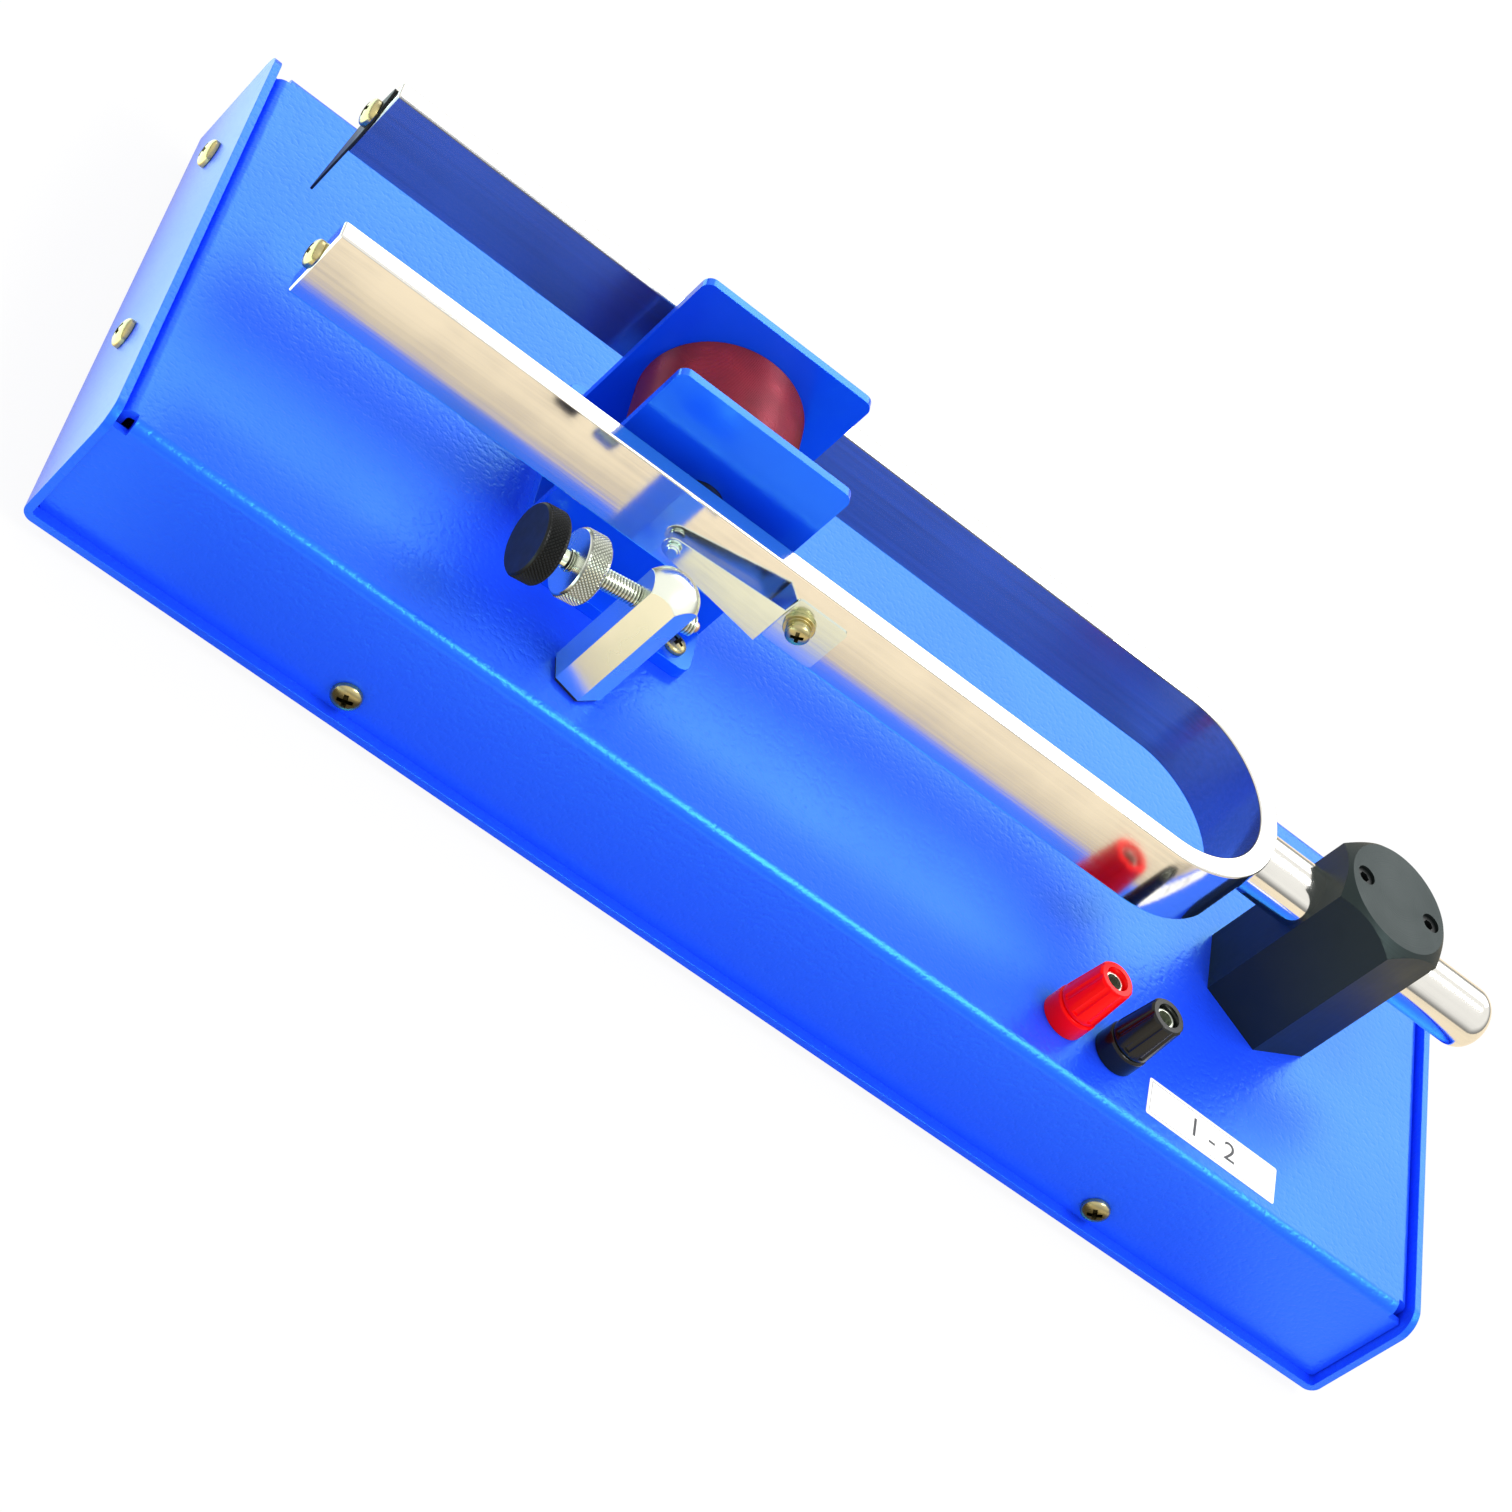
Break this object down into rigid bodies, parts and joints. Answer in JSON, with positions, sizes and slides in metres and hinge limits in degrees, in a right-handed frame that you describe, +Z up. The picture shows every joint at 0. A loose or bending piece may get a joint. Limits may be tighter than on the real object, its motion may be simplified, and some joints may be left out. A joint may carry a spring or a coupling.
{
  "type": "electric tuning fork",
  "caption": "Electrically maintained tuning fork clamped by its stem over a folded blue metal base, with a coil between the prongs, an interrupter contact screw and binding posts",
  "frame": {"origin": "middle of the base, on the plane that its rubber feet stand on", "axes": "+X along the fork from the prong tips to the stem, +Y across from the prong with the contact spring to the other prong, +Z up"},
  "size_m": [0.3798, 0.14, 0.0969],
  "materials": {
    "blue_paint": "fine-textured powder coat",
    "yellow_zinc": "yellow passivated zinc",
    "foot_rubber": "matt",
    "black_coat": "satin black oxide",
    "dark_steel": "blackened",
    "fork_steel": "polished and plated",
    "tinned": "bright tinned",
    "nickel_plate": "bright nickel",
    "insulator": "matt",
    "copper_tip": "worn contact metal",
    "blue_plastic": "gloss moulded",
    "enamel_wire": "enamelled copper wire",
    "core_iron": "blackened soft iron",
    "red_plastic": "gloss moulded",
    "black_plastic": "gloss moulded",
    "brass_insert": "turned"
  },
  "bodies": {
    "base": {"base_tray": "blue_paint", "top_cover": "blue_paint", "tray_tabs": "blue_paint", "side_screws": "yellow_zinc", "end_screws": "yellow_zinc", "end_nuts": "yellow_zinc", "rubber_feet": "foot_rubber", "fork_holder": "black_coat", "grub_screws": "dark_steel", "holder_bolt": "fork_steel", "holder_washer": "fork_steel", "bobbin": "blue_plastic", "winding_pack": "enamel_wire", "winding_wire": "enamel_wire", "magnet_core": "core_iron", "bobbin_screws": "yellow_zinc", "bobbin_nuts": "yellow_zinc", "pillar_bolt": "yellow_zinc", "pillar_washer": "insulator", "pillar_bush": "insulator", "red_post_collar": "red_plastic", "black_post_collar": "black_plastic", "post_studs": "nickel_plate", "post_washers": "insulator", "post_nuts": "brass_insert", "solder_tags": "tinned", "coil_lead": "red_plastic", "pillar_lead": "blue_plastic", "frame_lead": "black_plastic"},
    "fork": {"fork_yoke": "fork_steel"},
    "near_prong": {"near_prong": "fork_steel", "near_end_screw": "yellow_zinc", "contact_spring": "tinned", "spring_rivet": "tinned", "spring_washers": "yellow_zinc", "spring_screw": "yellow_zinc"},
    "far_prong": {"far_prong": "fork_steel", "far_end_screw": "yellow_zinc"},
    "stylus": {"stylus": "dark_steel"},
    "pillar": {"contact_pillar": "nickel_plate"},
    "screw_tip": {"contact_tip": "copper_tip"},
    "contact_screw": {"contact_screw": "dark_steel"},
    "lock_nut": {"lock_nut": "nickel_plate"},
    "red_cap_insert": {"red_cap_bush": "brass_insert"},
    "red_cap": {"red_cap": "red_plastic"},
    "black_cap_insert": {"black_cap_bush": "brass_insert"},
    "black_cap": {"black_cap": "black_plastic"}
  },
  "joints": [
    {"name": "fork_slide", "type": "slide", "parent": "base", "child": "fork", "axis": [1, 0, 0], "range_m": [-0.012, 0.015]},
    {"name": "near_prong_flex", "type": "hinge", "parent": "fork", "child": "near_prong", "pos_m": [0.0102, -0.02675, 0.0707], "axis": [0, 0, 1], "range_deg": [-0.5, 0.5], "stiffness_Nm_per_rad": 270},
    {"name": "far_prong_flex", "type": "hinge", "parent": "fork", "child": "far_prong", "pos_m": [0.0102, 0.02675, 0.0707], "axis": [0, 0, 1], "range_deg": [-0.5, 0.5], "stiffness_Nm_per_rad": 270},
    {"name": "stylus_swivel", "type": "hinge", "parent": "far_prong", "child": "stylus", "pos_m": [-0.1698, 0.02675, 0.0707], "axis": [1, 0, 0], "range_deg": [-30, 30]},
    {"name": "pillar_swivel", "type": "hinge", "parent": "base", "child": "pillar", "pos_m": [-0.0712, -0.052, 0.05], "axis": [0, 0, 1], "range_deg": [-25, 165]},
    {"name": "screw_travel", "type": "slide", "parent": "pillar", "child": "screw_tip", "axis": [0.9792, 0.2028, 0], "range_m": [-0.0031, 0.0059]},
    {"name": "screw_turn", "type": "hinge", "parent": "screw_tip", "child": "contact_screw", "pos_m": [-0.0712, -0.052, 0.0679], "axis": [0.9792, 0.2028, 0], "range_deg": [-1340, 2600]},
    {"name": "lock_nut_travel", "type": "slide", "parent": "contact_screw", "child": "lock_nut", "axis": [0.9792, 0.2028, 0], "range_m": [-0.005, 0.0053]},
    {"name": "red_cap_rise", "type": "slide", "parent": "base", "child": "red_cap_insert", "axis": [0, 0, 1], "range_m": [0, 0.004]},
    {"name": "red_cap_turn", "type": "hinge", "parent": "red_cap_insert", "child": "red_cap", "pos_m": [0.0714, -0.0502, 0.045], "axis": [0, 0, 1], "range_deg": [0, 1440]},
    {"name": "black_cap_rise", "type": "slide", "parent": "base", "child": "black_cap_insert", "axis": [0, 0, 1], "range_m": [0, 0.004]},
    {"name": "black_cap_turn", "type": "hinge", "parent": "black_cap_insert", "child": "black_cap", "pos_m": [0.0874, -0.0502, 0.045], "axis": [0, 0, 1], "range_deg": [0, 1440]}
  ],
  "couplings": [
    {"joint": "far_prong_flex", "follows": "near_prong_flex", "ratio": -1},
    {"joint": "screw_travel", "follows": "screw_turn", "m_per_rad": 0.00012732},
    {"joint": "red_cap_turn", "follows": "red_cap_rise", "rad_per_m": 6283.2},
    {"joint": "black_cap_turn", "follows": "black_cap_rise", "rad_per_m": 6283.2}
  ]
}
